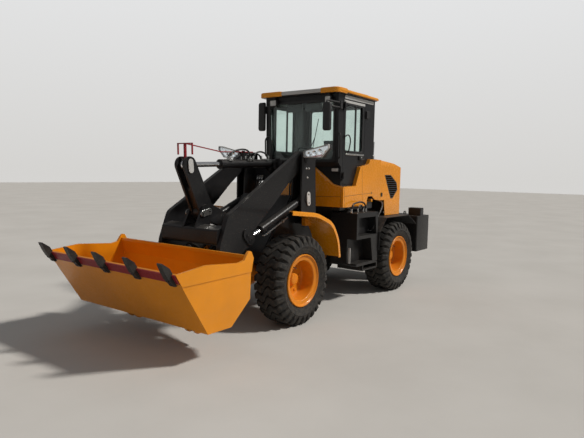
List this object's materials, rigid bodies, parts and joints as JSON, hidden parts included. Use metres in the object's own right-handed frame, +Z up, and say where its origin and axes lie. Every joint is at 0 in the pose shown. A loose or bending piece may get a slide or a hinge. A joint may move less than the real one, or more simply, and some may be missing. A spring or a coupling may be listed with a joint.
{
  "type": "wheel loader",
  "caption": "Compact articulated wheel loader with an enclosed cab, lifting arms, a toothed bucket and lugged tyres.",
  "frame": {"origin": "on the ground under the middle of the machine's length and width", "axes": "+X forward towards the bucket, +Y to the machine's left, +Z up"},
  "size_m": [6.059, 2.07, 2.985],
  "materials": {
    "body_orange": "glossy orange paint",
    "bucket_orange": "orange paint over plate steel",
    "frame_black": "satin black paint",
    "cab_black": "satin black paint",
    "rim_orange": "orange wheel paint",
    "tyre": "dusty black tread rubber",
    "edge_red": "dark red paint",
    "tooth_black": "cast teeth, painted black",
    "rod_chrome": "hard chrome",
    "pipe_chrome": "bright exhaust pipe",
    "glass": "green tinted glass",
    "seat_black": "black vinyl",
    "plastic_black": "black moulded plastic",
    "roof_orange": "orange moulded roof",
    "lamp": "lamp lenses and reflectors",
    "cast_grey": "engine castings"
  },
  "bodies": {
    "rear_body": {"rear_frame": "frame_black", "counterweight": "frame_black", "tail_lamps": "plastic_black", "engine_block": "cast_grey", "rear_axle": "frame_black", "cab_frame": "cab_black", "windscreen": "glass", "rear_glass": "glass", "cab_roof": "roof_orange", "seat": "seat_black", "steering_column": "plastic_black", "side_panels": "body_orange", "tank_left": "frame_black", "tank_right": "frame_black", "rear_mudguards": "plastic_black", "exhaust": "pipe_chrome", "mirrors": "plastic_black", "work_lamps": "lamp"},
    "front_body": {"front_frame": "frame_black", "front_axle": "rim_orange", "front_fenders": "body_orange", "headlamps": "lamp"},
    "boom": {"boom": "frame_black"},
    "rocker": {"rocker": "frame_black"},
    "link": {"link": "frame_black"},
    "bucket": {"bucket": "bucket_orange", "bucket_edge": "edge_red", "bucket_teeth": "tooth_black"},
    "hood": {"hood": "body_orange", "hood_vents": "plastic_black"},
    "door_left": {"door_left": "cab_black", "door_glass_left": "glass"},
    "door_right": {"door_right": "cab_black", "door_glass_right": "glass"},
    "tilt_barrel": {"tilt_barrel": "frame_black"},
    "tilt_rod": {"tilt_rod": "rod_chrome", "level_indicator": "edge_red"},
    "lift_barrel_left": {"lift_barrel_left": "frame_black"},
    "lift_rod_left": {"lift_rod_left": "rod_chrome"},
    "steer_barrel_left": {"steer_barrel_left": "frame_black"},
    "steer_rod_left": {"steer_rod_left": "rod_chrome"},
    "wheel_front_left": {"tyre_front_left": "tyre", "rim_front_left": "rim_orange"},
    "wheel_rear_left": {"tyre_rear_left": "tyre", "rim_rear_left": "rim_orange"},
    "lift_barrel_right": {"lift_barrel_right": "frame_black"},
    "lift_rod_right": {"lift_rod_right": "rod_chrome"},
    "steer_barrel_right": {"steer_barrel_right": "frame_black"},
    "steer_rod_right": {"steer_rod_right": "rod_chrome"},
    "wheel_front_right": {"tyre_front_right": "tyre", "rim_front_right": "rim_orange"},
    "wheel_rear_right": {"tyre_rear_right": "tyre", "rim_rear_right": "rim_orange"}
  },
  "joints": [
    {"name": "steer", "type": "hinge", "parent": "rear_body", "child": "front_body", "pos_m": [-0.4595, 0, 0.885], "axis": [0, 0, 1], "range_deg": [-35, 35]},
    {"name": "boom_lift", "type": "hinge", "parent": "front_body", "child": "boom", "pos_m": [0.3205, 0, 1.99], "axis": [0, -1, 0], "range_deg": [0, 82]},
    {"name": "bucket_dump", "type": "hinge", "parent": "boom", "child": "bucket", "pos_m": [2.1405, 0, 0.225], "axis": [0, 1, 0], "range_deg": [0, 176]},
    {"name": "rocker_swing", "type": "hinge", "parent": "boom", "child": "rocker", "pos_m": [1.6105, 0, 1.35], "axis": [0, 1, 0], "range_deg": [-40.2, 0]},
    {"name": "link_swing", "type": "hinge", "parent": "bucket", "child": "link", "pos_m": [1.9885, 0, 0.3], "axis": [0, 1, 0], "range_deg": [-183, 0]},
    {"name": "lift_foot_left", "type": "hinge", "parent": "front_body", "child": "lift_barrel_left", "pos_m": [0.2905, 0.474, 1.48], "axis": [0, -1, 0], "range_deg": [0, 73.99]},
    {"name": "lift_slide_left", "type": "slide", "parent": "lift_barrel_left", "child": "lift_rod_left", "axis": [0.9251, 0, -0.3797], "range_m": [0, 0.6401]},
    {"name": "lift_foot_right", "type": "hinge", "parent": "front_body", "child": "lift_barrel_right", "pos_m": [0.2905, -0.474, 1.48], "axis": [0, -1, 0], "range_deg": [0, 73.99]},
    {"name": "lift_slide_right", "type": "slide", "parent": "lift_barrel_right", "child": "lift_rod_right", "axis": [0.9251, 0, -0.3797], "range_m": [0, 0.6401]},
    {"name": "tilt_foot", "type": "hinge", "parent": "front_body", "child": "tilt_barrel", "pos_m": [0.3405, 0, 1.93], "axis": [0, -1, 0], "range_deg": [0, 81.6]},
    {"name": "tilt_slide", "type": "slide", "parent": "tilt_barrel", "child": "tilt_rod", "axis": [0.9994, 0, -0.0359], "range_m": [-0.3626, 0]},
    {"name": "steer_foot_left", "type": "hinge", "parent": "rear_body", "child": "steer_barrel_left", "pos_m": [-1.0195, 0.23, 0.86], "axis": [0, 0, 1], "range_deg": [-10.17, 10.17]},
    {"name": "steer_slide_left", "type": "slide", "parent": "steer_barrel_left", "child": "steer_rod_left", "axis": [0.9995, 0.0316, 0], "range_m": [-0.1487, 0.1487]},
    {"name": "steer_foot_right", "type": "hinge", "parent": "rear_body", "child": "steer_barrel_right", "pos_m": [-1.0195, -0.23, 0.86], "axis": [0, 0, 1], "range_deg": [-10.17, 10.17]},
    {"name": "steer_slide_right", "type": "slide", "parent": "steer_barrel_right", "child": "steer_rod_right", "axis": [0.9995, -0.0316, 0], "range_m": [-0.1487, 0.1487]},
    {"name": "spin_front_left", "type": "hinge", "parent": "front_body", "child": "wheel_front_left", "pos_m": [0.8255, 0.75, 0.5375], "axis": [0, 1, 0], "continuous": true},
    {"name": "spin_front_right", "type": "hinge", "parent": "front_body", "child": "wheel_front_right", "pos_m": [0.8255, -0.75, 0.5375], "axis": [0, 1, 0], "continuous": true},
    {"name": "spin_rear_left", "type": "hinge", "parent": "rear_body", "child": "wheel_rear_left", "pos_m": [-1.7445, 0.75, 0.5375], "axis": [0, 1, 0], "continuous": true},
    {"name": "spin_rear_right", "type": "hinge", "parent": "rear_body", "child": "wheel_rear_right", "pos_m": [-1.7445, -0.75, 0.5375], "axis": [0, 1, 0], "continuous": true},
    {"name": "door_left_open", "type": "hinge", "parent": "rear_body", "child": "door_left", "pos_m": [-0.4175, 0.652, 2.2], "axis": [0, 0, -1], "range_deg": [0, 80]},
    {"name": "door_right_open", "type": "hinge", "parent": "rear_body", "child": "door_right", "pos_m": [-0.4175, -0.652, 2.2], "axis": [0, 0, 1], "range_deg": [0, 80]},
    {"name": "hood_lift", "type": "hinge", "parent": "rear_body", "child": "hood", "pos_m": [-1.457, 0, 2.058], "axis": [0, 1, 0], "range_deg": [0, 50]}
  ],
  "couplings": [
    {"joint": "rocker_swing", "follows": "bucket_dump", "ratio": -0.22784},
    {"joint": "link_swing", "follows": "bucket_dump", "ratio": -1.0392},
    {"joint": "lift_foot_left", "follows": "boom_lift", "ratio": 0.90114},
    {"joint": "lift_slide_left", "follows": "boom_lift", "m_per_rad": 0.44657},
    {"joint": "lift_foot_right", "follows": "boom_lift", "ratio": 0.90114},
    {"joint": "lift_slide_right", "follows": "boom_lift", "m_per_rad": 0.44657},
    {"joint": "tilt_foot", "follows": "boom_lift", "ratio": 0.99386},
    {"joint": "tilt_slide", "follows": "bucket_dump", "m_per_rad": -0.1177},
    {"joint": "steer_foot_left", "follows": "steer", "ratio": 0.28763},
    {"joint": "steer_slide_left", "follows": "steer", "m_per_rad": -0.2418},
    {"joint": "steer_foot_right", "follows": "steer", "ratio": 0.28763},
    {"joint": "steer_slide_right", "follows": "steer", "m_per_rad": 0.2418}
  ]
}
